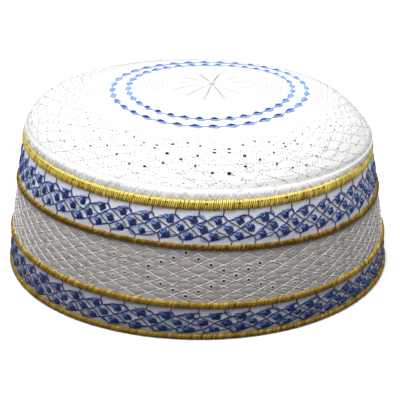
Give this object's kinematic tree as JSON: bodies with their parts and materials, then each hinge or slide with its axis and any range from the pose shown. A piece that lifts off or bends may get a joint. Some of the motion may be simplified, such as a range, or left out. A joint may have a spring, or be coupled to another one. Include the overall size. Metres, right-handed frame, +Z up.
{
  "type": "embroidered prayer cap",
  "caption": "Round white prayer cap with a shallow domed crown, blue flower bands, a pierced quilted band and gold corded seams; open below for a head.",
  "frame": {"origin": "middle of the hem, on the surface that the cap rests on", "axes": "+Z up through the crown, -Y to the front of the cap as pictured, +X to the right of that view"},
  "size_m": [0.188, 0.188, 0.0851],
  "materials": {
    "white_cotton": "fine white cotton with rows of white stitching",
    "quilted_cotton": "quilted white cotton under a raised white thread net",
    "flower_satin": "white satin with blue satin-stitch flowers",
    "gold_thread": "shiny gold thread wrapped over the seams"
  },
  "bodies": {
    "root": {"crown": "white_cotton", "upper_flower_strip": "flower_satin", "lattice_strip": "quilted_cotton", "lower_flower_strip": "flower_satin", "crown_cord": "gold_thread", "upper_band_cord": "gold_thread", "lower_band_cord": "gold_thread", "hem_cord": "gold_thread"}
  },
  "joints": []
}
